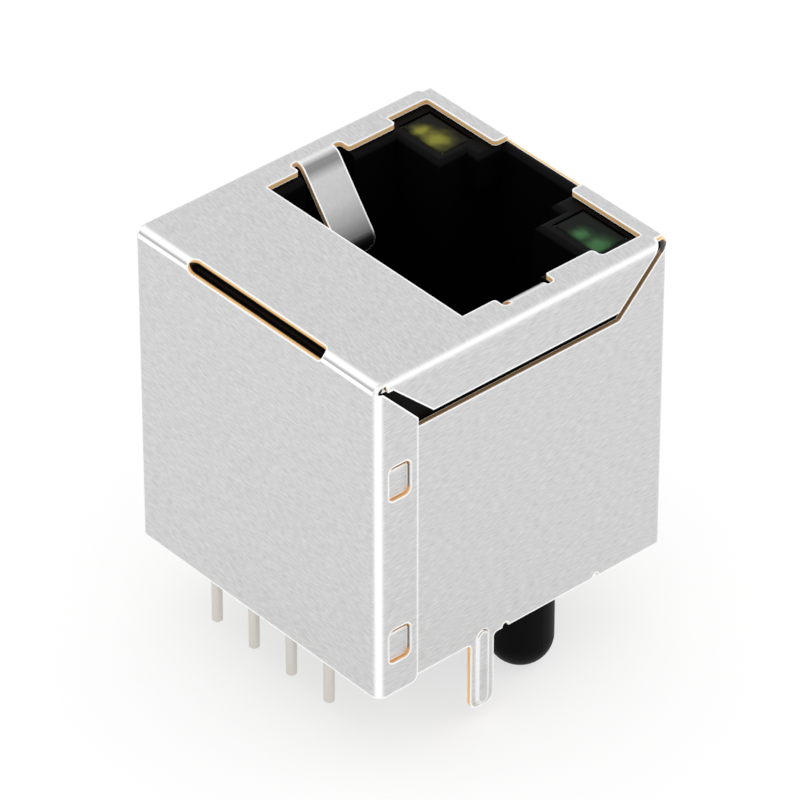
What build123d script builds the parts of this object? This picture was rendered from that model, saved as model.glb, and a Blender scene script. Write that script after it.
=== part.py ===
from build123d import *
from math import cos, radians, sin, sqrt, tan
import os

# Vertical shielded modular jack with built-in magnetics and two indicator lamps, in millimetres.
# The origin is the middle of the footprint, on the surface of the circuit board that carries it.
# +Z points away from the board and out of the port, +X runs across the port, and +Y runs from
# the magnetics side to the latch side. Depths are measured from the shield's front face.

# Sheet metal of the shield, the gap between pieces that fit in each other, and the distance
# within which an edge is taken to lie on a level
sheet = 0.25
bend_radius = 0.5
fit_gap = 0.05
level_tolerance = 0.01

# Port for the plug, with a stepped slot for the plug's latch
port_width = 11.9
port_height = 7.03
port_depth = 12.2
port_floor_rise = 0.4
mouth_radius = 0.3
latch_wide = 6.2
latch_wide_depth = 1.59
latch_step_width = 0.75
latch_narrow_depth = 1.43
latch_shoulder = 1.75
latch_space_rise = 2.45

# Walls and rooms of the housing
front_wall = 0.5
side_wall = 1.5
rear_wall = 0.4
chamber_depth = 4.2
chamber_wall = 0.65
chamber_roof = 2.0
carrier_thickness = 1.2

# Pegs of the housing, with a thicker root above the board
peg_diameter = 3.05
peg_collar = 0.165
peg_inset = 0.045
peg_from_port = 4.104
peg_reach = 4.35
peg_end_radius = 1.45

# Front shield's side flaps, flanges and windows
flap_margin = 0.45
flap_slope_drop = 0.4
flap_slope_depth = 0.34
flap_corner_radius = 0.4
flange_drop = 2.5
flange_gap = 0.85
flange_back_margin = 2.96
flange_angle = 45.0
relief_depth = 0.55
corner_relief_width = 0.17
corner_relief_depth = 0.6
window_width = 1.2
window_height = 1.8
window_radius = 0.3
window_from_bend = 0.13
window_low = 2.57
window_drop = 5.31

# Slot across the bend between the top and the front
bend_slot_length = 8.85
bend_slot_offset = 0.025
bend_slot_top = 0.47
bend_slot_front = 0.53
bend_slot_radius = 0.35

# Opening in the shield's top
opening_lip = 0.43
opening_front_gap = 0.05
lamp_window_step = 0.59
lamp_window_side_gap = 0.53
lamp_window_front_gap = 0.27
lamp_window_back_gap = 0.28
latch_cut_gap = 0.1
opening_corner_radius = 0.22
opening_far_corner_radius = 0.15

# Grounding fingers that bend down into the port
finger_width = 2.06
finger_from_port = 3.23
finger_notch = 0.4
finger_notch_radius = 0.2
finger_notch_edge_radius = 0.15
finger_root = 0.63
finger_overhang = 0.25
finger_slope = 52.7
finger_ramp = 4.11
finger_tip = 0.55
finger_bend = 0.6
finger_tip_bend = 0.7
finger_end_radius = 0.5
finger_pocket_gap = 0.12
finger_pocket_depth = 4.8

# Rear shield
flange_to_panel = 0.73
panel_front = 0.6
back_panel_drop = 0.42
foot_notch_width = 0.36
foot_notch_height = 0.22
foot_notch_depths = (7.62, 12.95)

# Catches pressed out of the rear shield into the windows
catch_gap = 0.04
catch_foot_gap = 0.08
catch_top_gap = 0.26
catch_reach = 0.16
catch_arch_radius = 0.42
catch_foot_radius = 0.15
catch_crest_radius = 0.12
catch_wall = 0.22

# Board legs of the rear shield
leg_width = 1.34
leg_depth = 6.27
leg_reach = 3.68
leg_tip_radius = 0.45
leg_root_radius = 0.22
rib_width = 0.68
rib_top = 0.52
rib_end = 0.16
rib_height = 0.1
rib_taper = 30.0

# Base plate
standoff = 0.35
base_thickness = 1.0
base_pad = 2.4
base_foot = 1.4
boss_diameter = 1.1
boss_height = 0.9
boss_gap = 0.03

# Magnetics board
board_rise = 1.55
board_thickness = 0.8
board_margin = 0.3
board_edge_gap = 0.15

# Signal pins, square above the board and round in it
pin_diameter = 0.5
pin_shank = 0.55
pin_reach = 3.66
pin_pitch = 2.54
pin_row_spacing = 2.54
pin_count = 4
pin_stagger = 1.27
pin_tip_chamfer = 0.12
pin_above_board = 0.25
hole_gap = 0.05

# Spring contacts and their carrier
contact_count = 8
contact_pitch = 1.016
contact_width = 0.35
contact_thickness = 0.25
contact_bend = 0.4
contact_height = 8.25
contact_tail = 0.5
contact_arm_start = 0.7
contact_arm_reach = 1.95
contact_arm_height = 2.3
groove_depth = 0.6
groove_gap = 0.05
carrier_margin = 0.8
carrier_top_gap = 0.325
carrier_headroom = 0.8

# Wound cores and their case
coil_headroom = 0.2
coil_case_margin = 0.4
coil_rib = 0.95
core_inner = 1.5
core_height = 1.6
winding_thickness = 0.3
winding_arc = 300.0
pocket_gap = 0.1

# Chip parts under the magnetics board
resistor_length = 1.6
resistor_width = 0.8
resistor_height = 0.45
capacitor_length = 3.2
capacitor_height = 1.0
capacitor_gap = 0.1
capacitor_edge_radius = 0.1

# Indicator lamps and their leads
lamp_from_latch = 0.52
lamp_from_port = 0.64
lamp_depth = 1.75
lamp_height = 5.0
lamp_recess = 0.02
lamp_edge_radius = 0.12
lead_size = 0.45
lead_pitch = 2.54
lead_shift = 2.3
lead_jog_rise = 0.35
lead_jog_step = 0.8
lead_reach = 3.2
post_inset = 0.53
lead_head_height = 0.9
lead_head_depth = 1.3

# Levels above the board
housing_bottom = standoff + base_thickness
board_level = housing_bottom + board_rise
board_top = board_level + board_thickness
port_floor = board_top + port_floor_rise
housing_top = port_floor + port_depth
shield_height = housing_top + fit_gap + sheet

# Depths behind the shield's front face
housing_front = sheet + fit_gap
chamber_front = housing_front + front_wall
chamber_back = chamber_front + chamber_depth
port_front = chamber_back + carrier_thickness + fit_gap
port_back = port_front + port_height
latch_step = port_back + latch_wide_depth
latch_back = latch_step + latch_narrow_depth
housing_back = latch_back + rear_wall
top_plate_depth = housing_back
shield_depth = housing_back + fit_gap + sheet

# Half widths from the middle outwards
housing_half = port_width / 2 + side_wall
panel_half = housing_half + fit_gap + sheet
shield_half = panel_half + fit_gap + sheet
chamber_half = housing_half - chamber_wall
opening_half = port_width / 2 + opening_lip
finger_root_half = opening_half + finger_root
lamp_window_half = opening_half + lamp_window_step

# Places of the lamps, pegs, fingers, windows and pins
lamp_inner = latch_wide / 2 + lamp_from_latch
lamp_outer = lamp_window_half - lamp_window_side_gap
lamp_width = lamp_outer - lamp_inner
lamp_middle = (lamp_inner + lamp_outer) / 2
lamp_front = port_back + lamp_from_port
lamp_back = lamp_front + lamp_depth
lamp_centre = (lamp_front + lamp_back) / 2
lamp_top = housing_top - lamp_recess
lamp_bottom = lamp_top - lamp_height
post_pitch = lamp_width - 2 * post_inset
jog_level = housing_bottom + lead_jog_rise
peg_x = housing_half - peg_inset - peg_collar - peg_diameter / 2
peg_depth = port_front + peg_from_port
finger_centre = port_front + finger_from_port
window_depth = bend_radius + window_from_bend + window_width / 2
window_levels = (window_low, shield_height - window_drop)
pin_row_depth = chamber_front + boss_gap + boss_diameter / 2
pin_edge = (pin_count - 1) / 2 * pin_pitch + pin_stagger / 2
pin_passage = pin_shank / sqrt(2) + hole_gap
wire_depth = chamber_back + carrier_thickness - groove_depth + contact_thickness / 2


def from_front(depth):
    return depth - shield_depth / 2


def save(piece, name):
    piece.part.label = name
    export_step(piece.part, f"parts/{name}.step")


os.makedirs("parts", exist_ok=True)

# Room of the slot across the bend, rounded both from above and from the front
with BuildPart() as bend_slot:
    with BuildSketch(Plane.XY.offset(shield_height)):
        with Locations((bend_slot_offset, from_front(0))):
            RectangleRounded(bend_slot_length, 2 * bend_slot_top, bend_slot_radius)
    extrude(amount=bend_slot_front, both=True)
    with BuildSketch(Plane.XZ.offset(-from_front(0))):
        with Locations((bend_slot_offset, shield_height)):
            RectangleRounded(bend_slot_length, 2 * bend_slot_front, bend_slot_radius)
    extrude(amount=bend_slot_top, both=True, mode=Mode.INTERSECT)

# Front shield: top, front, side flaps and side flanges from one sheet
flap_depth = window_depth + window_width / 2 + flap_margin
flap_top = shield_height - flange_drop
flap_slope_top = shield_height - flap_slope_drop
flange_front = flap_depth + flange_gap
flange_back = top_plate_depth - flange_back_margin
flange_back_top = flap_top + flange_back_margin * tan(radians(flange_angle))
with BuildPart() as front_shield:
    with Locations((0, from_front(top_plate_depth / 2), shield_height / 2)):
        Box(2 * shield_half, top_plate_depth, shield_height)
    front_edges = front_shield.faces().sort_by(Axis.Y)[0].edges()
    upper_edges = front_shield.faces().sort_by(Axis.Z)[-1].edges()
    bends = [
        front_edges.sort_by(Axis.Z)[-1],
        *front_edges.filter_by(Axis.Z),
        *upper_edges.filter_by(Axis.Y),
    ]
    fillet(bends, bend_radius)
    open_faces = [front_shield.faces().sort_by(Axis.Z)[0], front_shield.faces().sort_by(Axis.Y)[-1]]
    offset(amount=-sheet, openings=open_faces)

    # Cut the outline of the flap and the flange on each side
    for side in (-1, 1):
        bend_start = Plane.YZ.offset(side * (shield_half - bend_radius))
        with BuildSketch(bend_start) as side_cut:
            with BuildLine():
                Polyline(
                    (from_front(flap_slope_depth), flap_slope_top),
                    (from_front(flap_depth), flap_top),
                    (from_front(flap_depth), -sheet),
                    (from_front(shield_depth), -sheet),
                    (from_front(shield_depth), flange_back_top),
                    (from_front(top_plate_depth), flange_back_top),
                    (from_front(flange_back), flap_top),
                    (from_front(flange_front), flap_top),
                    (from_front(flap_slope_depth + relief_depth), flap_slope_top),
                    close=True,
                )
            make_face()
        extrude(amount=side * 2 * bend_radius, mode=Mode.SUBTRACT)
        with BuildSketch(bend_start) as windows:
            for level in window_levels:
                with Locations((from_front(window_depth), level)):
                    RectangleRounded(window_width, window_height, window_radius)
        extrude(amount=side * 2 * bend_radius, mode=Mode.SUBTRACT)
    foot_edges = front_shield.edges().filter_by(Axis.X).group_by(Axis.Z)[0]
    fillet(foot_edges.group_by(Axis.Y)[-1], flap_corner_radius)

    # Open the corners where the top, the front and a side would meet, and the slot between them
    with BuildSketch(Plane.XY.offset(shield_height)) as corner_reliefs:
        for side in (-1, 1):
            with Locations((side * shield_half, from_front(0))):
                Rectangle(2 * corner_relief_width, 2 * corner_relief_depth)
    extrude(amount=-flap_slope_drop, mode=Mode.SUBTRACT)
    add(bend_slot.part, mode=Mode.SUBTRACT)

    # Open the port, with the wider part over the lamps and the cut for the plug's latch
    lamp_window_front = lamp_front - lamp_window_front_gap
    lamp_window_back = lamp_back + lamp_window_back_gap
    latch_cut_half = latch_wide / 2 - latch_step_width + latch_cut_gap
    with BuildSketch(Plane.XY.offset(shield_height - sheet)) as opening:
        with BuildLine():
            half_outline = [
                (0, from_front(port_front - opening_front_gap)),
                (opening_half, from_front(port_front - opening_front_gap)),
                (opening_half, from_front(lamp_window_front)),
                (lamp_window_half, from_front(lamp_window_front)),
                (lamp_window_half, from_front(lamp_window_back)),
                (latch_cut_half, from_front(lamp_window_back)),
                (latch_cut_half, from_front(shield_depth)),
                (0, from_front(shield_depth)),
            ]
            Polyline(*half_outline, close=True)
        make_face()
        for corner_x, corner_depth in ((opening_half, lamp_window_front), (latch_cut_half, lamp_window_back)):
            corner = Vector(corner_x, from_front(corner_depth))
            fillet(opening.vertices().sort_by_distance(corner)[0], opening_corner_radius)
        mirror(about=Plane.YZ)
        green_corner = Vector(lamp_window_half, from_front(lamp_window_front))
        fillet(opening.vertices().sort_by_distance(green_corner)[0], opening_corner_radius)
        yellow_corner = Vector(-lamp_window_half, from_front(lamp_window_back))
        fillet(opening.vertices().sort_by_distance(yellow_corner)[0], opening_far_corner_radius)
        for side in (-1, 1):
            with Locations((side * port_width / 2, from_front(finger_centre))):
                RectangleRounded(
                    2 * (opening_lip + finger_root), finger_width + 2 * finger_notch, finger_notch_radius
                )
        for side in (-1, 1):
            lip = side * opening_half
            lip_corners = opening.vertices().filter_by_position(
                Axis.X, lip - level_tolerance, lip + level_tolerance
            )
            fillet(lip_corners.sort_by(Axis.Y)[1:3], finger_notch_edge_radius)
    extrude(amount=sheet, mode=Mode.SUBTRACT)

    # Bend a grounding finger down into the port from each side of the opening
    top_level = shield_height - sheet / 2
    bend_x = finger_root_half - finger_overhang
    ramp_x = bend_x - finger_ramp * cos(radians(finger_slope))
    ramp_z = top_level - finger_ramp * sin(radians(finger_slope))
    finger_end = ramp_z - finger_tip
    for side in (-1, 1):
        with BuildSketch(Plane.XZ.offset(-from_front(finger_centre) - finger_width / 2)) as finger:
            with BuildLine():
                FilletPolyline(
                    (side * (finger_root_half + sheet), top_level),
                    (side * bend_x, top_level),
                    (side * ramp_x, ramp_z),
                    (side * ramp_x, finger_end),
                    radius=[finger_bend, finger_tip_bend],
                )
            trace(line_width=sheet)
        extrude(amount=finger_width)
    end_edges = front_shield.edges().filter_by(Axis.X).filter_by_position(
        Axis.Z, finger_end - level_tolerance, finger_end + level_tolerance
    )
    fillet(end_edges, finger_end_radius)
save(front_shield, "front_shield")

# Rear shield: two side panels and the back from one sheet, one sheet inside the front shield
panel_top = flap_top - flange_to_panel
back_top = shield_height - back_panel_drop
rear_length = shield_depth - panel_front
with BuildPart() as rear_shield:
    with Locations((0, from_front(panel_front + rear_length / 2), back_top / 2)):
        Box(2 * panel_half, rear_length, back_top)
    fillet(rear_shield.faces().sort_by(Axis.Y)[-1].edges().filter_by(Axis.Z), bend_radius)
    open_faces = [
        rear_shield.faces().sort_by(Axis.Z)[0],
        rear_shield.faces().sort_by(Axis.Z)[-1],
        rear_shield.faces().sort_by(Axis.Y)[0],
    ]
    offset(amount=-sheet, openings=open_faces)

    # Lower the side panels' top edges to follow the flanges
    slope_start = flange_back + flange_to_panel * tan(radians(flange_angle / 2))
    slope_end = slope_start + (shield_height - panel_top) / tan(radians(flange_angle))
    with BuildSketch(Plane.YZ) as panel_cut:
        with BuildLine():
            Polyline(
                (from_front(0), panel_top),
                (from_front(slope_start), panel_top),
                (from_front(slope_end), shield_height),
                (from_front(0), shield_height),
                close=True,
            )
        make_face()
    extrude(amount=panel_half, both=True, mode=Mode.SUBTRACT)

    # Small notches in the panels' lower edge
    with BuildSketch(Plane.YZ) as notches:
        for depth in foot_notch_depths:
            with Locations((from_front(depth), 0)):
                Ellipse(foot_notch_width / 2, foot_notch_height)
    extrude(amount=panel_half, both=True, mode=Mode.SUBTRACT)

    for side in (-1, 1):
        inner_face = Plane.YZ.offset(side * (panel_half - sheet))
        outer_face = Plane.YZ.offset(side * panel_half)

        # Leg that goes through the board
        with BuildSketch(inner_face) as leg:
            with Locations((from_front(leg_depth), (rib_top - leg_reach) / 2)):
                Rectangle(leg_width, rib_top + leg_reach)
            with Locations((from_front(leg_depth), rib_top / 2)):
                Rectangle(leg_width + 4 * leg_root_radius, rib_top)
            root_corners = leg.vertices().group_by(Axis.Y)[1].sort_by(Axis.X)[1:3]
            fillet(root_corners, leg_root_radius)
            fillet(leg.vertices().group_by(Axis.Y)[0], leg_tip_radius)
        extrude(amount=side * sheet)

        # Stiffening rib pressed out of the leg, with its hollow behind
        rib_length = leg_reach - rib_end + rib_top
        rib_centre = (from_front(leg_depth), rib_top - rib_length / 2)
        with BuildSketch(outer_face) as rib:
            with Locations(rib_centre):
                SlotOverall(rib_length, rib_width, rotation=90)
        extrude(amount=side * rib_height, taper=rib_taper)
        with BuildSketch(inner_face) as rib_hollow:
            with Locations(rib_centre):
                SlotOverall(rib_length - 2 * rib_height, rib_width - 2 * rib_height, rotation=90)
        extrude(amount=side * rib_height, taper=rib_taper, mode=Mode.SUBTRACT)

        # Catches with an arched crest above and a square edge below, and their hollows behind
        catch_width = window_width - 2 * catch_gap
        catch_height = window_height - catch_foot_gap - catch_top_gap
        for level in window_levels:
            catch_centre = (from_front(window_depth), level + (catch_foot_gap - catch_top_gap) / 2)
            with BuildSketch(outer_face) as catch:
                with Locations(catch_centre):
                    Rectangle(catch_width, catch_height)
                corners = catch.vertices().group_by(Axis.Y)
                fillet(corners[0], catch_foot_radius)
                fillet(corners[-1], catch_arch_radius)
            extrude(amount=side * catch_reach)
            catch_faces = rear_shield.faces(Select.LAST).filter_by(Axis.X)
            outermost = catch_faces.sort_by(lambda face: side * face.center().X)[-1]
            crest = outermost.edges().filter_by_position(Axis.Z, level, shield_height)
            fillet(crest, catch_crest_radius)
            with BuildSketch(inner_face) as catch_hollow:
                with Locations(catch_centre):
                    RectangleRounded(
                        catch_width - 2 * catch_wall, catch_height - 2 * catch_wall, catch_foot_radius
                    )
            extrude(amount=side * catch_reach, mode=Mode.SUBTRACT)
save(rear_shield, "rear_shield")

# Housing: one moulding with the port, the lamp pockets, the magnetics chamber and the pegs
housing_depth = housing_back - housing_front
housing_height = housing_top - housing_bottom
latch_space_depth = port_depth - latch_shoulder - latch_space_rise
pocket_half = finger_root_half + finger_pocket_gap
with BuildPart() as housing:
    with Locations((0, from_front(housing_front + housing_depth / 2), housing_bottom + housing_height / 2)):
        Box(2 * housing_half, housing_depth, housing_height)
    fillet(housing.edges().filter_by(Axis.Z), bend_radius)
    with BuildSketch(Plane.XY.offset(housing_top)) as port:
        with Locations((0, from_front(port_front + port_height / 2))):
            Rectangle(port_width, port_height)
        with Locations((0, from_front(port_back + latch_wide_depth / 2))):
            Rectangle(latch_wide, latch_wide_depth)
    extrude(amount=-port_depth, mode=Mode.SUBTRACT)
    with BuildSketch(Plane.XY.offset(housing_top)) as latch_narrow_slot:
        with Locations((0, from_front(latch_step + latch_narrow_depth / 2))):
            Rectangle(latch_wide - 2 * latch_step_width, latch_narrow_depth)
    extrude(amount=-latch_shoulder, mode=Mode.SUBTRACT)
    mouth = housing.faces().sort_by(Axis.Z)[-1].inner_wires()[0].edges()
    fillet(mouth, mouth_radius)
    with BuildSketch(Plane.XY.offset(housing_top - latch_shoulder)) as latch_space:
        with Locations((0, from_front(latch_step + latch_narrow_depth / 2))):
            Rectangle(latch_wide, latch_narrow_depth)
    extrude(amount=-latch_space_depth, mode=Mode.SUBTRACT)

    # Pockets beside the mouth that give the grounding fingers room
    with BuildSketch(Plane.XY.offset(housing_top)) as finger_pockets:
        with Locations((0, from_front(finger_centre))):
            Rectangle(2 * pocket_half, finger_width + 2 * finger_notch)
    extrude(amount=-finger_pocket_depth, mode=Mode.SUBTRACT)

    # Lamp pockets, open at the top, with a channel below for each lead
    channel = lead_size + 4 * hole_gap
    jog_start = lamp_middle - lead_shift - lead_pitch / 2 - channel / 2
    jog_end = lamp_middle + post_pitch / 2 + channel / 2
    for side in (-1, 1):
        with BuildSketch(Plane.XY.offset(lamp_bottom)) as lamp_pocket:
            with Locations((side * lamp_middle, from_front(lamp_centre))):
                Rectangle(lamp_width + 2 * fit_gap, lamp_depth + 2 * fit_gap)
        extrude(until=Until.LAST, mode=Mode.SUBTRACT)
        with BuildSketch(Plane.XY.offset(housing_bottom)) as lead_channels:
            for lead in (-1, 1):
                with Locations((side * lamp_middle + lead * post_pitch / 2, from_front(lamp_centre))):
                    Rectangle(channel, channel)
        extrude(amount=lamp_bottom - housing_bottom, mode=Mode.SUBTRACT)
        with BuildSketch(Plane.XY.offset(housing_bottom)) as jog_channel:
            with Locations((side * (jog_start + jog_end) / 2, from_front(lamp_centre))):
                Rectangle(jog_end - jog_start, channel)
        extrude(amount=lead_jog_rise + lead_jog_step + lead_size + 2 * hole_gap, mode=Mode.SUBTRACT)

    # Magnetics chamber, open below, and the slot for the contact carrier beside it
    with BuildSketch(Plane.XY.offset(housing_bottom)) as chamber:
        with Locations((0, from_front(chamber_front + chamber_depth / 2))):
            Rectangle(2 * chamber_half, chamber_depth)
    extrude(amount=housing_height - chamber_roof, mode=Mode.SUBTRACT)
    with BuildSketch(Plane.XY.offset(housing_bottom)) as board_room:
        with Locations((0, from_front((chamber_front + port_front) / 2))):
            Rectangle(2 * chamber_half, port_front - chamber_front)
    extrude(amount=board_top - housing_bottom, mode=Mode.SUBTRACT)
    contact_top = port_floor + contact_height
    carrier_top = contact_top - contact_thickness / 2 - carrier_top_gap
    carrier_half = port_width / 2 - carrier_margin
    with BuildSketch(Plane.XY.offset(board_top)) as carrier_slot:
        with Locations((0, from_front((chamber_back + port_front) / 2))):
            Rectangle(2 * carrier_half, port_front - chamber_back)
    extrude(amount=carrier_top + carrier_headroom - board_top, mode=Mode.SUBTRACT)

    # Pegs that locate the jack in the board
    with BuildSketch(Plane.XY) as peg_collars:
        with Locations((-peg_x, from_front(peg_depth)), (peg_x, from_front(peg_depth))):
            Circle(peg_diameter / 2 + peg_collar)
    extrude(amount=housing_bottom)
    with BuildSketch(Plane.XY) as pegs:
        with Locations((-peg_x, from_front(peg_depth)), (peg_x, from_front(peg_depth))):
            Circle(peg_diameter / 2)
    extrude(amount=-peg_reach)
    fillet(housing.faces().group_by(Axis.Z)[0].edges(), peg_end_radius)
save(housing, "housing")

# Places of the signal pins, in two staggered rows, and of the lamps' leads
pin_places = [
    (
        (index - (pin_count - 1) / 2) * pin_pitch + (row - 0.5) * pin_stagger,
        from_front(pin_row_depth + row * pin_row_spacing),
    )
    for row in (0, 1)
    for index in range(pin_count)
]
lead_places = [
    (side * (lamp_middle - lead_shift + lead * lead_pitch / 2), from_front(lamp_centre))
    for side in (-1, 1)
    for lead in (-1, 1)
]

# Base plate: closes the housing below, guides the pins and stands on the board
with BuildPart() as base_plate:
    with BuildSketch(Plane.XY.offset(standoff)) as plate:
        with Locations((0, from_front((housing_front + housing_back) / 2))):
            RectangleRounded(2 * housing_half, housing_depth, bend_radius)
    extrude(amount=base_thickness)
    with BuildSketch(Plane.XY.offset(housing_bottom)) as bosses:
        with Locations(*pin_places):
            Circle(boss_diameter / 2)
    extrude(amount=boss_height)
    with BuildSketch(Plane.XY) as feet:
        Rectangle(base_pad, base_pad / 2)
        foot_x = housing_half - base_foot / 2
        for corner_x in (-foot_x, foot_x):
            for corner_depth in (housing_front + base_foot / 2, housing_back - base_foot / 2):
                with Locations((corner_x, from_front(corner_depth))):
                    RectangleRounded(base_foot, base_foot, base_foot / 4)
    extrude(amount=standoff)
    with BuildSketch(Plane.XY.offset(standoff)) as passages:
        with Locations(*pin_places):
            Circle(pin_passage)
        with Locations(*lead_places):
            Rectangle(lead_size + 2 * hole_gap, lead_size + 2 * hole_gap)
        for side in (-1, 1):
            passage_radius = peg_diameter / 2 + peg_collar + fit_gap
            with Locations((side * peg_x, from_front(peg_depth))):
                Circle(passage_radius)
            with Locations((side * (peg_x + passage_radius), from_front(peg_depth))):
                Rectangle(2 * passage_radius, 2 * passage_radius)
    extrude(amount=base_thickness + boss_height, mode=Mode.SUBTRACT)
save(base_plate, "base_plate")

# Spring contacts: up through the carrier, over its top and slanting back down into the port
contact_places = [(index - (contact_count - 1) / 2) * contact_pitch for index in range(contact_count)]
arm_depth = port_front + contact_arm_start
for number, contact_x in enumerate(contact_places, 1):
    with BuildPart() as contact:
        with BuildSketch(Plane.YZ.offset(contact_x - contact_width / 2)):
            with BuildLine():
                FilletPolyline(
                    (from_front(wire_depth), board_level - contact_tail),
                    (from_front(wire_depth), contact_top),
                    (from_front(arm_depth), contact_top),
                    (from_front(arm_depth + contact_arm_reach), port_floor + contact_arm_height),
                    radius=contact_bend,
                )
            trace(line_width=contact_thickness)
        extrude(amount=contact_width)
    save(contact, f"contact_{number}")

# Contact carrier: upright bar with one groove for each contact
with BuildPart() as contact_carrier:
    carrier_height = carrier_top - board_top
    carrier_middle = from_front(chamber_back + carrier_thickness / 2)
    with Locations((0, carrier_middle, board_top + carrier_height / 2)):
        Box(2 * (carrier_half - fit_gap), carrier_thickness, carrier_height)
    fillet(contact_carrier.edges().filter_by(Axis.X).group_by(Axis.Z)[-1], mouth_radius)
    with BuildSketch(Plane.XY.offset(board_top)) as grooves:
        for contact_x in contact_places:
            with Locations((contact_x, from_front(chamber_back + carrier_thickness - groove_depth / 2))):
                Rectangle(contact_width + 2 * groove_gap, groove_depth)
    extrude(amount=carrier_height, mode=Mode.SUBTRACT)
save(contact_carrier, "contact_carrier")

# Magnetics board: carries the coil case above, the chips below, and joins pins to contacts
board_half = chamber_half - board_margin
board_front = chamber_front + board_edge_gap
board_back = port_front - board_edge_gap
with BuildPart() as magnetics_board:
    with Locations((0, from_front((board_front + board_back) / 2), board_level + board_thickness / 2)):
        Box(2 * board_half, board_back - board_front, board_thickness)
    with BuildSketch(Plane.XY.offset(board_level)) as board_holes:
        with Locations(*pin_places):
            Circle(pin_passage)
        wire_radius = sqrt(contact_width**2 + contact_thickness**2) / 2
        with Locations(*[(contact_x, from_front(wire_depth)) for contact_x in contact_places]):
            Circle(wire_radius + hole_gap / 2)
    extrude(amount=board_thickness, mode=Mode.SUBTRACT)
save(magnetics_board, "magnetics_board")

# Signal pins: from below the circuit board up through the base plate and the magnetics board
for number, (pin_x, pin_y) in enumerate(pin_places, 1):
    with BuildPart() as signal_pin:
        upper_length = board_top + pin_above_board
        with Locations((pin_x, pin_y, upper_length / 2)):
            Box(pin_shank, pin_shank, upper_length)
        with Locations((pin_x, pin_y, -pin_reach / 2)):
            Cylinder(pin_diameter / 2, pin_reach)
        pin_ends = signal_pin.faces().filter_by(Axis.Z).sort_by(Axis.Z)
        chamfer([*pin_ends[0].edges(), *pin_ends[-1].edges()], pin_tip_chamfer)
    save(signal_pin, f"signal_pin_{number}")

# Coil case: tray on the magnetics board with a round pocket for each wound core
case_back = chamber_back - fit_gap
case_front = chamber_front + fit_gap
case_bottom = board_top + pin_above_board + fit_gap
case_height = housing_top - chamber_roof - coil_headroom - case_bottom
case_width = 2 * (chamber_half - coil_case_margin)
core_outer = case_height / 2 - coil_rib - 2 * (winding_thickness + pocket_gap)
winding_height = core_height + 2 * winding_thickness
winding_radius = core_outer / 2 + winding_thickness
pocket_depth = winding_height + pocket_gap
coil_places = [
    (column * case_width / 4, case_bottom + case_height / 2 + row * case_height / 4)
    for row in (-1, 1)
    for column in (-1, 1)
]
with BuildPart() as coil_case:
    case_depth = case_back - case_front
    with Locations((0, from_front(case_front + case_depth / 2), case_bottom + case_height / 2)):
        Box(case_width, case_depth, case_height)
    with BuildSketch(Plane.XZ.offset(-from_front(case_front))) as pockets:
        with Locations(*coil_places):
            Circle(winding_radius + pocket_gap)
    extrude(amount=-pocket_depth, mode=Mode.SUBTRACT)

    # A bar under the case stands on the magnetics board between the pin rows
    with BuildSketch(Plane.XY.offset(board_top)) as bar:
        with Locations((0, from_front(pin_row_depth + pin_row_spacing / 2))):
            Rectangle(case_width, pin_row_spacing / 2)
    extrude(amount=case_bottom - board_top)
save(coil_case, "coil_case")

# Wound cores: two transformers above two chokes, each a ferrite ring and its copper winding
coil_back = case_front + pocket_depth
core_names = ("choke_1", "choke_2", "transformer_1", "transformer_2")
for name, (coil_x, coil_z) in zip(core_names, coil_places):
    ring_plane = Plane(origin=(coil_x, from_front(coil_back - winding_thickness), coil_z), z_dir=(0, -1, 0))
    with BuildPart() as core:
        with BuildSketch(ring_plane):
            Circle(core_outer / 2)
            Circle(core_inner / 2, mode=Mode.SUBTRACT)
        extrude(amount=core_height)
    save(core, f"{name}_core")
    coil_origin = Vector(coil_x, from_front(coil_back), coil_z)
    with BuildPart() as winding:
        with BuildSketch(Plane(origin=coil_origin, x_dir=(1, 0, 0), z_dir=(0, 0, 1))):
            ring_width = (core_outer - core_inner) / 2 + 2 * winding_thickness
            ring_middle = (core_outer + core_inner) / 4
            with Locations((ring_middle, -winding_height / 2)):
                RectangleRounded(ring_width, winding_height, winding_thickness)
                Rectangle(ring_width - 2 * winding_thickness, core_height, mode=Mode.SUBTRACT)
        revolve(axis=Axis(coil_origin, (0, 1, 0)), revolution_arc=winding_arc)
    save(winding, f"{name}_winding")

# Chip resistors under the magnetics board, between the pin rows
chip_depth = pin_row_depth + pin_row_spacing / 2
for index in range(pin_count):
    with BuildPart() as resistor:
        resistor_x = (index - (pin_count - 1) / 2) * pin_pitch - pin_stagger / 2
        with Locations((resistor_x, from_front(chip_depth), board_level - resistor_height / 2)):
            Box(resistor_length, resistor_width, resistor_height)
    save(resistor, f"resistor_{index + 1}")

# High-voltage capacitor under the magnetics board, from the pins' bosses to the board's edge
capacitor_start = pin_edge + boss_diameter / 2 + capacitor_gap
capacitor_width = board_half - capacitor_start
with BuildPart() as capacitor:
    capacitor_depth = board_front + capacitor_gap + capacitor_length / 2
    capacitor_x = capacitor_start + capacitor_width / 2
    with Locations((capacitor_x, from_front(capacitor_depth), board_level - capacitor_height / 2)):
        Box(capacitor_width, capacitor_length, capacitor_height)
    fillet(capacitor.edges().filter_by(Axis.Y), capacitor_edge_radius)
save(capacitor, "capacitor")

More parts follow.
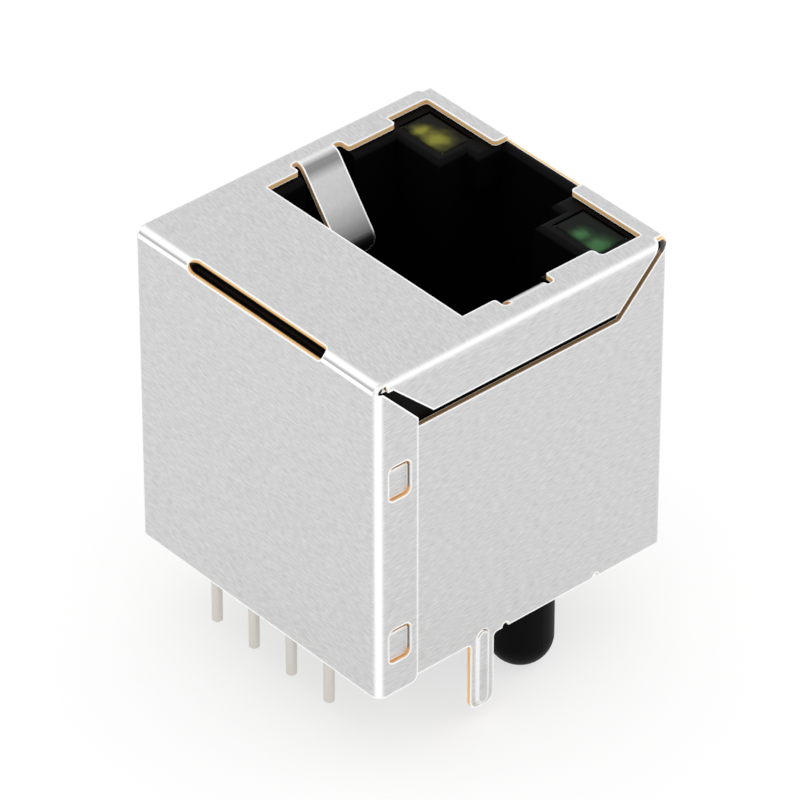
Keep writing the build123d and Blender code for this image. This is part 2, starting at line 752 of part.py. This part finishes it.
# Indicator lamps: a clear body over two leads that jog inward and go down through the board
lead_head_width = lead_size + (post_pitch - lead_size) / 4
head_bottom = lamp_top - lead_head_depth - lead_head_height
for side, name in ((-1, "lamp_yellow"), (1, "lamp_green")):
    lamp_x = side * lamp_middle
    lead_shapes = []
    for lead, lead_name, level in (
        (-1, "inner", jog_level + lead_jog_step + lead_size / 2),
        (1, "outer", jog_level + lead_size / 2),
    ):
        top_x = lamp_x + side * lead * post_pitch / 2
        foot_x = lamp_x + side * (lead * lead_pitch / 2 - lead_shift)
        with BuildPart() as lamp_lead:
            with BuildSketch(Plane.XZ.offset(-from_front(lamp_centre) - lead_size / 2)):
                with BuildLine():
                    Polyline(
                        (foot_x, -lead_reach),
                        (foot_x, level),
                        (top_x, level),
                        (top_x, head_bottom),
                    )
                trace(line_width=lead_size)
                with Locations((top_x - side * lead * (lead_head_width - lead_size) / 2, head_bottom)):
                    Rectangle(lead_head_width, lead_head_height, align=(Align.CENTER, Align.MIN))
            extrude(amount=lead_size)
        save(lamp_lead, f"{name}_{lead_name}_lead")
        lead_shapes.append(lamp_lead.part)
    with BuildPart() as lamp:
        with Locations((lamp_x, from_front(lamp_centre), lamp_bottom + lamp_height / 2)):
            Box(lamp_width, lamp_depth, lamp_height)
        fillet(lamp.faces().sort_by(Axis.Z)[-1].edges(), lamp_edge_radius)
        for lead_shape in lead_shapes:
            add(lead_shape, mode=Mode.SUBTRACT)
    save(lamp, name)
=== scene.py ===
"""Looks of the vertical shielded modular jack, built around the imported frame. Metres."""

import math
import re

import bpy
from mathutils import Matrix, Vector
from mathutils.bvhtree import BVHTree


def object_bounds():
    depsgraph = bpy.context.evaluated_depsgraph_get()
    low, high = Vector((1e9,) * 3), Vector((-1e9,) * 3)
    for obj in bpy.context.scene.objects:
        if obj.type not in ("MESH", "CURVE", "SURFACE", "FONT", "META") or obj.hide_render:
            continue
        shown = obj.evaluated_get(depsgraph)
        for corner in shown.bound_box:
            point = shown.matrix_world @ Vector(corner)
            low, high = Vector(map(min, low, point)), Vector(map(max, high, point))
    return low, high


MM = 0.001
WHITE = (1.0, 1.0, 1.0)

# Camera of the photograph, fitted to the edges of the box
CAMERA_TARGET = Vector((-0.554, 0.275, 7.112)) * MM
CAMERA_AZIMUTH = math.radians(48.794)
CAMERA_ELEVATION = math.radians(36.381)
CAMERA_DISTANCE = 304.9 * MM
CAMERA_LENS = 312.86
CAMERA_SENSOR = 36.0
CAMERA_CLIP = 0.01

# Floor and light
FLOOR_SIZE = 4.0
FLOOR_COLOUR = (0.35, 0.35, 0.35)
FLOOR_GLOW = 0.66
FLOOR_ROUGHNESS = 0.9
LIGHT_ANGLES = {"left": (-45.0, 32.0), "right": (132.0, 37.0)}
LIGHT_DISTANCE = 0.4
LIGHT_SIZE = 0.3
LIGHT_POWER = 0.05

# Which faces of a sheet get which material, in metres
SHEET = 0.25 * MM
EDGE_DEPTH = 0.45 * MM
RAY_LENGTH = 1.0
SLOT_WALLS = -7.9 * MM
FLAP_TOP = 16.0 * MM
RIB_TOP = 0.6 * MM

# The same, as parts of a face's direction
FACES_UP = 0.3
FACES_SIDEWAYS = 0.75
FLAT_OF_RIB = 0.98
BACK_OF_RIB = 0.1

# Places on the sheets, in millimetres
HALF_DEPTH = 8.5
TOP = 16.6
FINGER_START = 7.4 + 16.6
FINGER_SPAN = 8.0
FINGER_ROOT = 7.06
FINGER_CENTRE = 0.98
FINGER_WIDTH = 2.06
FINGER_SLACK = 0.01

# Tones of the sheets, with their painted highlights, reflections and shade
SHEET_LEVEL = 0.64
SHEET_ROUGHNESS = 0.42
BRUSH_STOPS = ((0.25, 0.87 * SHEET_LEVEL), (0.75, 1.12 * SHEET_LEVEL))
BRUSH_TILT = math.radians(11.0)
BRUSH_DEPTH = 0.006 * MM
# Painted highlights and a grey painted reflection across the bend between the front and the top
BEND_HIGHLIGHT_STOPS = (
    (0.02, SHEET_LEVEL),
    (0.12, 1.0),
    (0.40, 1.0),
    (0.46, 0.44),
    (0.56, 0.47),
    (0.76, 1.0),
    (0.93, 1.0),
    (0.998, SHEET_LEVEL),
)
# Painted reflection along a grounding finger: a painted highlight at the root, painted shade at its bend and
# tip
FINGER_REFLECTION_STOPS = (
    (0.03, 0.70),
    (0.07, 0.85),
    (0.12, 0.27),
    (0.17, 0.27),
    (0.25, 0.62),
    (0.48, 0.60),
    (0.64, 0.42),
    (0.82, 0.10),
    (1.0, 0.01),
)
FINGER_MARKS = ((0.3, 0.93), (0.7, 1.0))
# Painted shade on the cut edges under the front sheet's flap
UNDER_FLAP_SHADE_LEVEL = 0.42
# The third cut tone is a painted highlight towards the cut's edges
CUT_TONES = ((0.92, 0.52, 0.19), (1.0, 0.60, 0.25), (1.0, 0.84, 0.52))
# Painted white highlight at the rim of a cut
CUT_RIM_HIGHLIGHT = (1.0, 0.99, 0.96)
# Painted shade on the inner half of the slot's walls
CUT_SHADE = (0.01, 0.006, 0.003)

# Painted highlights beside sharp edges: how wide they are, and where they start and are full
FLAT_HIGHLIGHT = (0.2 * MM, 0.008, 0.05)
CUT_HIGHLIGHT_RADIUS = 0.13 * MM
LAMP_HIGHLIGHT = (0.08 * MM, 0.01, 0.08)

PLASTIC_DEPTH = 0.01 * MM

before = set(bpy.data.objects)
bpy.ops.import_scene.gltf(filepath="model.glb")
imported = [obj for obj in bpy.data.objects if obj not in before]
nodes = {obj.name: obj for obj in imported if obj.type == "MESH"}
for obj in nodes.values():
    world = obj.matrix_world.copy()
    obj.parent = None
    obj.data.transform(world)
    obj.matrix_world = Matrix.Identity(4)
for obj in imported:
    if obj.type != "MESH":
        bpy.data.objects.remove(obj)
cad_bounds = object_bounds()


def shader(name, base, roughness, metallic=0.0, specular=0.5):
    """A new material with its Principled shader set to constant values."""
    material = bpy.data.materials.new(name)
    material.use_nodes = True
    principled = material.node_tree.nodes["Principled BSDF"]
    principled.inputs["Base Color"].default_value = (*base, 1.0)
    principled.inputs["Roughness"].default_value = roughness
    principled.inputs["Metallic"].default_value = metallic
    principled.inputs["Specular IOR Level"].default_value = specular
    return material, principled


def add_node(material, kind, **values):
    """A node of that kind, with its properties set by name."""
    node = material.node_tree.nodes.new(kind)
    for key, value in values.items():
        setattr(node, key, value)
    return node


def feed(material, value, socket):
    """Joins an output to the socket, or sets the socket to a constant."""
    if isinstance(value, bpy.types.NodeSocket):
        material.node_tree.links.new(value, socket)
    else:
        socket.default_value = value


def calc(material, operation, *values):
    """The result of a Math node."""
    node = add_node(material, "ShaderNodeMath", operation=operation)
    for value, socket in zip(values, node.inputs):
        feed(material, value, socket)
    return node.outputs[0]


def size_of(material, value):
    """The value without its sign."""
    return calc(material, "ABSOLUTE", value)


def rise(material, value, start, stop):
    """0 up to start, 1 from stop, and a smooth slope between."""
    node = add_node(material, "ShaderNodeMapRange", interpolation_type="SMOOTHSTEP")
    feed(material, value, node.inputs["Value"])
    node.inputs["From Min"].default_value = start
    node.inputs["From Max"].default_value = stop
    return node.outputs["Result"]


def mix(material, factor, low, high, blend="MIX"):
    """A colour between low and high."""
    node = add_node(material, "ShaderNodeMix", data_type="RGBA", blend_type=blend)
    feed(material, factor, node.inputs[0])
    for value, socket in ((low, node.inputs[6]), (high, node.inputs[7])):
        feed(material, value if isinstance(value, bpy.types.NodeSocket) else (*value, 1.0), socket)
    return node.outputs[2]


def ramp(material, value, stops):
    """A grey level read off a list of (place, level) stops."""
    node = add_node(material, "ShaderNodeValToRGB")
    elements = node.color_ramp.elements
    for stop, _ in stops[1:-1]:
        elements.new(stop)
    for element, (stop, level) in zip(elements, stops):
        element.position = stop
        element.color = (level, level, level, 1.0)
    feed(material, value, node.inputs["Fac"])
    return node.outputs["Color"]


def place(material):
    """Object coordinates in millimetres, as a vector and its three parts."""
    coordinates = add_node(material, "ShaderNodeTexCoord")
    scaled = add_node(material, "ShaderNodeVectorMath", operation="SCALE")
    feed(material, coordinates.outputs["Object"], scaled.inputs[0])
    scaled.inputs["Scale"].default_value = 1 / MM
    parts = add_node(material, "ShaderNodeSeparateXYZ")
    feed(material, scaled.outputs[0], parts.inputs[0])
    return scaled.outputs[0], parts.outputs


def facing(material):
    """The three parts of the surface's direction."""
    coordinates = add_node(material, "ShaderNodeTexCoord")
    parts = add_node(material, "ShaderNodeSeparateXYZ")
    feed(material, coordinates.outputs["Normal"], parts.inputs[0])
    return parts.outputs


def near_edge(material, radius):
    """0 on a flat face, rising towards 1 within radius of a sharp edge."""
    bevel = add_node(material, "ShaderNodeBevel", samples=8)
    bevel.inputs["Radius"].default_value = radius
    surface = add_node(material, "ShaderNodeNewGeometry")
    dot = add_node(material, "ShaderNodeVectorMath", operation="DOT_PRODUCT")
    feed(material, bevel.outputs[0], dot.inputs[0])
    feed(material, surface.outputs["Normal"], dot.inputs[1])
    return calc(material, "SUBTRACT", 1.0, dot.outputs["Value"])


def with_edge_highlight(material, colour, rim, highlight_colour):
    """The colour, with a painted highlight beside each sharp edge."""
    radius, start, stop = rim
    return mix(material, rise(material, near_edge(material, radius), start, stop), colour, highlight_colour)


def grain(material, vector, scale, turn=(0.0, 0.0, 0.0), detail=3.0):
    """Noise, turned and then stretched."""
    turned = add_node(material, "ShaderNodeMapping")
    turned.inputs["Rotation"].default_value = turn
    feed(material, vector, turned.inputs["Vector"])
    stretched = add_node(material, "ShaderNodeMapping")
    stretched.inputs["Scale"].default_value = scale
    feed(material, turned.outputs["Vector"], stretched.inputs["Vector"])
    noise = add_node(material, "ShaderNodeTexNoise")
    noise.inputs["Scale"].default_value = 1.0
    noise.inputs["Detail"].default_value = detail
    feed(material, stretched.outputs["Vector"], noise.inputs["Vector"])
    return noise.outputs["Fac"]


def roughen(material, principled, height, strength, depth):
    """Fine relief from a height."""
    bump = add_node(material, "ShaderNodeBump")
    bump.inputs["Strength"].default_value = strength
    bump.inputs["Distance"].default_value = depth
    feed(material, height, bump.inputs["Height"])
    feed(material, bump.outputs["Normal"], principled.inputs["Normal"])


def brushed_metal(name, grain_scale, turn):
    """Plated sheet: short brush marks on the flats, painted highlights on the bends, and painted white
    highlights beside the edges where it is cut.
    """
    material, principled = shader(name, (SHEET_LEVEL,) * 3, SHEET_ROUGHNESS, 1.0)
    vector, _ = place(material)
    marks = grain(material, vector, grain_scale, turn, 1.0)
    flat = ramp(material, marks, BRUSH_STOPS)
    nx, ny, nz = facing(material)
    across, upright = size_of(material, nx), size_of(material, nz)
    steepest = calc(material, "MAXIMUM", across, upright)
    steepest = calc(material, "MAXIMUM", steepest, size_of(material, ny))
    slant = calc(material, "SUBTRACT", 1.0, steepest)

    # Painted highlights: bends between upright faces are painted white all over, and those beside the top
    # fade into it
    standing = calc(material, "SUBTRACT", 1.0, rise(material, upright, 0.15, 0.45))
    bright = calc(material, "MULTIPLY", standing, rise(material, slant, 0.0, 0.18))
    leaning = calc(material, "SUBTRACT", 1.0, standing)
    soft = calc(material, "MULTIPLY", leaning, rise(material, slant, 0.0, 0.28))
    soft = calc(material, "MULTIPLY", soft, 0.85)
    colour = mix(material, calc(material, "MAXIMUM", bright, soft), flat, WHITE)

    # Painted highlights and reflection: the long bend between the front and the top is painted white with a
    # grey line along its middle
    forward = rise(material, calc(material, "MULTIPLY", ny, -1.0), 0.02, 0.06)
    front = rise(material, calc(material, "MULTIPLY", forward, nz), 0.0, 0.02)
    front = calc(material, "MULTIPLY", front, rise(material, across, 0.35, 0.2))
    colour = mix(material, front, colour, ramp(material, nz, BEND_HIGHLIGHT_STOPS))
    feed(material, with_edge_highlight(material, colour, FLAT_HIGHLIGHT, WHITE), principled.inputs["Base Color"])
    roughen(material, principled, marks, 0.15, BRUSH_DEPTH)
    return material


def finger_metal(name):
    """Sheet of a grounding finger, with a painted reflection along it: a painted highlight near its root, a
    dark band of painted shade at its bend, and its tip painted dark as in the shade of the port.
    """
    material, principled = shader(name, (SHEET_LEVEL,) * 3, SHEET_ROUGHNESS, 1.0)
    vector, (x, _, z) = place(material)
    marks = grain(material, vector, (4.0, 12.0, 4.0))
    along = calc(material, "SUBTRACT", FINGER_START, size_of(material, x))
    along = calc(material, "SUBTRACT", along, z)
    level = ramp(material, calc(material, "DIVIDE", along, FINGER_SPAN), FINGER_REFLECTION_STOPS)
    colour = mix(material, 1.0, level, ramp(material, marks, FINGER_MARKS), "MULTIPLY")
    feed(material, with_edge_highlight(material, colour, FLAT_HIGHLIGHT, WHITE), principled.inputs["Base Color"])
    return material


def cut_metal(name, level=1.0, shaded=False):
    """Bare brass where the sheet is cut: a dark line between painted highlights, and a painted white
    highlight at the rim.
    """
    material, principled = shader(name, (0.8, 0.5, 0.2), 0.5, 0.0, 0.3)
    vector, (_, y, z) = place(material)
    mottle = grain(material, vector, (3.0, 3.0, 3.0))
    edge = near_edge(material, CUT_HIGHLIGHT_RADIUS)
    # A level below 1 darkens the tones as painted shade
    low, high, light = [[c * level for c in tone] for tone in CUT_TONES]
    # Painted highlights: lighter towards the cut's edges, and white at its rim
    tone = mix(material, rise(material, edge, 0.003, 0.03), mix(material, mottle, low, high), light)
    colour = mix(material, rise(material, edge, 0.03, 0.1), tone, CUT_RIM_HIGHLIGHT)
    if shaded:
        # Painted shade: the inner half of the wall is darkened almost to black
        before = calc(material, "SUBTRACT", HALF_DEPTH, size_of(material, y))
        below = calc(material, "SUBTRACT", TOP, z)
        inward = calc(material, "MINIMUM", before, below)
        colour = mix(material, rise(material, inward, 0.15, 0.2), colour, CUT_SHADE)
    feed(material, colour, principled.inputs["Base Color"])
    return material


def grained_plastic(name, base, roughness, specular=0.5):
    """Moulded plastic with a very fine grain."""
    material, principled = shader(name, base, roughness, 0.0, specular)
    vector, _ = place(material)
    height = grain(material, vector, (6.0, 6.0, 6.0), detail=4.0)
    shade = mix(material, height, [c * 0.8 for c in base], [c * 1.2 for c in base])
    feed(material, shade, principled.inputs["Base Color"])
    roughen(material, principled, height, 0.25, PLASTIC_DEPTH)
    return material


def plain_metal(name, base, roughness):
    """Plated wire: metal with a faint mottle in its colour and its gloss."""
    material, principled = shader(name, base, roughness, 1.0)
    vector, _ = place(material)
    mottle = grain(material, vector, (3.0, 3.0, 3.0))
    shade = mix(material, mottle, [c * 0.92 for c in base], base)
    feed(material, shade, principled.inputs["Base Color"])
    spread = add_node(material, "ShaderNodeMapRange")
    spread.inputs["To Min"].default_value = roughness * 0.8
    spread.inputs["To Max"].default_value = roughness * 1.25
    feed(material, mottle, spread.inputs["Value"])
    feed(material, spread.outputs["Result"], principled.inputs["Roughness"])
    return material


def lamp_resin(name, body, glow, spots, highlight_colour):
    """Dark tinted resin with the lead heads showing through as soft spots."""
    material, principled = shader(name, body, 0.3, 0.0, 0.06)
    vector, _ = place(material)
    colour = mix(material, grain(material, vector, (1.0, 1.0, 1.0)), [c * 0.8 for c in body], body)
    for centre, radius in spots:
        distance = add_node(material, "ShaderNodeVectorMath", operation="DISTANCE")
        feed(material, vector, distance.inputs[0])
        distance.inputs[1].default_value = centre
        uneven = grain(material, vector, (2.2, 2.2, 2.2), detail=1.0)
        uneven = calc(material, "MULTIPLY", uneven, 0.4)
        away = calc(material, "ADD", distance.outputs["Value"], uneven)
        away = calc(material, "SUBTRACT", away, 0.2)
        halo = calc(material, "MULTIPLY", rise(material, away, 1.8 * radius, 0.6 * radius), 0.3)
        colour = mix(material, halo, colour, glow)
        spot = calc(material, "MULTIPLY", rise(material, away, 1.15 * radius, 0.2 * radius), 0.85)
        colour = mix(material, spot, colour, glow)
    # Painted highlights along the lamp's edges
    feed(material, with_edge_highlight(material, colour, LAMP_HIGHLIGHT, highlight_colour), principled.inputs["Base Color"])
    return material


# The materials of a sheet, and the slot that each one has
ALONG_X, ALONG_Y, CUT, FINGER, RIB_PAINTED_SHADE, SLOT_WALL_PAINTED_SHADE, UNDER_FLAP_PAINTED_SHADE = range(7)
sheet_materials = (
    brushed_metal("shield_brushed_x", (2.2, 16.0, 16.0), (0.0, -0.6 * BRUSH_TILT, 0.6 * BRUSH_TILT)),
    brushed_metal("shield_brushed_y", (16.0, 2.2, 16.0), (-0.3 * BRUSH_TILT, 0.0, 0.0)),
    cut_metal("shield_cut_edge"),
    finger_metal("grounding_finger"),
    # Painted shade on the back slope of the rib
    plain_metal("rib_painted_shade", (0.25, 0.25, 0.25), SHEET_ROUGHNESS),
    # Cut edges with painted shade on the inner half of the slot's walls
    cut_metal("slot_cut_edge_painted_shade", shaded=True),
    # A darker copy of the cut edges, as painted shade under the flap
    cut_metal("cut_edge_painted_shade_under_flap", UNDER_FLAP_SHADE_LEVEL),
)

# The other pieces, by their names. All that none of these fits is black plastic
black_plastic = grained_plastic("black_plastic", (0.0022, 0.0022, 0.0025), 0.45, 0.045)
finishes = {
    r"contact_\d": plain_metal("gold_plated_wire", (0.86, 0.60, 0.22), 0.25),
    r"signal_pin_\d|.*_lead$": plain_metal("tin_plated_wire", (0.72, 0.69, 0.64), 0.36),
    r".*_winding$": plain_metal("enamelled_copper", (0.62, 0.22, 0.08), 0.32),
    r".*_core$": grained_plastic("ferrite", (0.03, 0.03, 0.032), 0.6),
    r"magnetics_board$": grained_plastic("board_laminate", (0.02, 0.12, 0.05), 0.35),
    r"resistor_\d": grained_plastic("resistor_body", (0.015, 0.015, 0.017), 0.4),
    r"capacitor$": grained_plastic("capacitor_body", (0.32, 0.19, 0.09), 0.45),
    r"lamp_yellow$": lamp_resin(
        "yellow_resin",
        (0.005, 0.005, 0.002),
        (0.24, 0.235, 0.03),
        [((-5.61, 5.96, 16.3), 0.38), ((-4.61, 5.98, 16.3), 0.6)],
        (0.22, 0.26, 0.08),
    ),
    r"lamp_green$": lamp_resin(
        "green_resin",
        (0.003, 0.006, 0.0035),
        (0.05, 0.15, 0.055),
        [((4.9, 5.87, 16.3), 0.42), ((6.0, 5.84, 16.3), 0.6)],
        (0.2, 0.26, 0.2),
    ),
}


def finish_node(node, *materials):
    """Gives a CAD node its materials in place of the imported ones."""
    mesh = node.data
    mesh.materials.clear()
    for material in materials:
        mesh.materials.append(material)
    for polygon in mesh.polygons:
        polygon.material_index = 0


def on_finger(point):
    """Whether a point of the front sheet lies on one of its grounding fingers."""
    x, y = abs(point.x) / MM, point.y / MM
    return x < FINGER_ROOT and abs(y - FINGER_CENTRE) < FINGER_WIDTH / 2 + FINGER_SLACK


def face_slot(node, centre, normal, depth):
    """The slot of a face of a sheet, which is cut where more than the sheet's thickness is behind it."""
    if depth is None or depth > EDGE_DEPTH:
        # Slot walls get painted shade on their inner half
        if centre.y < SLOT_WALLS:
            return SLOT_WALL_PAINTED_SHADE
        # Cut edges of the rear sheet that face up under the flap get painted shade
        if node.name == "rear_shield" and normal.z > FACES_UP and centre.z < FLAP_TOP:
            return UNDER_FLAP_PAINTED_SHADE
        return CUT
    if node.name == "front_shield" and on_finger(centre):
        return FINGER
    # The back slope of the rib gets painted shade
    if centre.z < RIB_TOP and abs(normal.x) < FLAT_OF_RIB and normal.y > BACK_OF_RIB:
        return RIB_PAINTED_SHADE
    return ALONG_Y if abs(normal.x) > FACES_SIDEWAYS else ALONG_X


def finish_sheet(node):
    """Brushes each face of a sheet along its own direction and bares the metal where it is cut."""
    finish_node(node, *sheet_materials)
    mesh = node.data
    points = [v.co for v in mesh.vertices]
    tree = BVHTree.FromPolygons(points, [tuple(p.vertices) for p in mesh.polygons], all_triangles=False)
    for polygon in mesh.polygons:
        start = polygon.center - polygon.normal * (0.01 * SHEET)
        _, _, _, depth = tree.ray_cast(start, -polygon.normal, RAY_LENGTH)
        polygon.material_index = face_slot(node, polygon.center, polygon.normal, depth)


for name, node in nodes.items():
    if name.endswith("_shield"):
        finish_sheet(node)
    else:
        fitting = [material for pattern, material in finishes.items() if re.match(pattern, name)]
        finish_node(node, *(fitting or [black_plastic]))


def unit_towards(azimuth, elevation):
    """The direction from the object to a place at these angles, in radians. Azimuth 0 is the front."""
    level = math.cos(elevation)
    return Vector((math.sin(azimuth) * level, -math.cos(azimuth) * level, math.sin(elevation)))


def add_object(name, data):
    """A new object in the scene."""
    item = bpy.data.objects.new(name, data)
    bpy.context.scene.collection.objects.link(item)
    return item


# Plain pale floor under the longest pins and pegs
half = FLOOR_SIZE / 2
corners = [(x, y, cad_bounds[0][2]) for x, y in ((-half, -half), (half, -half), (half, half), (-half, half))]
floor_mesh = bpy.data.meshes.new("floor")
floor_mesh.from_pydata(corners, [], [(0, 1, 2, 3)])
floor_paper, floor_shader = shader("floor_paper", FLOOR_COLOUR, FLOOR_ROUGHNESS)
floor_shader.inputs["Emission Color"].default_value = (*WHITE, 1.0)
floor_shader.inputs["Emission Strength"].default_value = FLOOR_GLOW
floor_mesh.materials.append(floor_paper)
add_object("floor", floor_mesh)

# Two wide soft lights that face the object, in a white surround
for name, (azimuth, elevation) in LIGHT_ANGLES.items():
    lamp = bpy.data.lights.new(name, "AREA")
    lamp.size = LIGHT_SIZE
    lamp.energy = LIGHT_POWER
    light = add_object(name, lamp)
    towards = unit_towards(math.radians(azimuth), math.radians(elevation))
    light.location = towards * LIGHT_DISTANCE
    light.rotation_euler = towards.to_track_quat("Z", "Y").to_euler()

world = bpy.data.worlds.new("studio")
world.use_nodes = True
background = world.node_tree.nodes["Background"]
background.inputs["Color"].default_value = (*WHITE, 1.0)
background.inputs["Strength"].default_value = 1.0
bpy.context.scene.world = world
bpy.context.scene.view_settings.view_transform = "Standard"

camera_data = bpy.data.cameras.new("camera")
camera_data.lens = CAMERA_LENS
camera_data.sensor_width = CAMERA_SENSOR
camera_data.clip_start = CAMERA_CLIP
camera = add_object("camera", camera_data)
back = unit_towards(CAMERA_AZIMUTH, CAMERA_ELEVATION)
right = Vector((math.cos(CAMERA_AZIMUTH), math.sin(CAMERA_AZIMUTH), 0.0))
turn = Matrix((right, back.cross(right), back)).transposed().to_4x4()
camera.matrix_world = Matrix.Translation(CAMERA_TARGET + back * CAMERA_DISTANCE) @ turn
bpy.context.scene.camera = camera
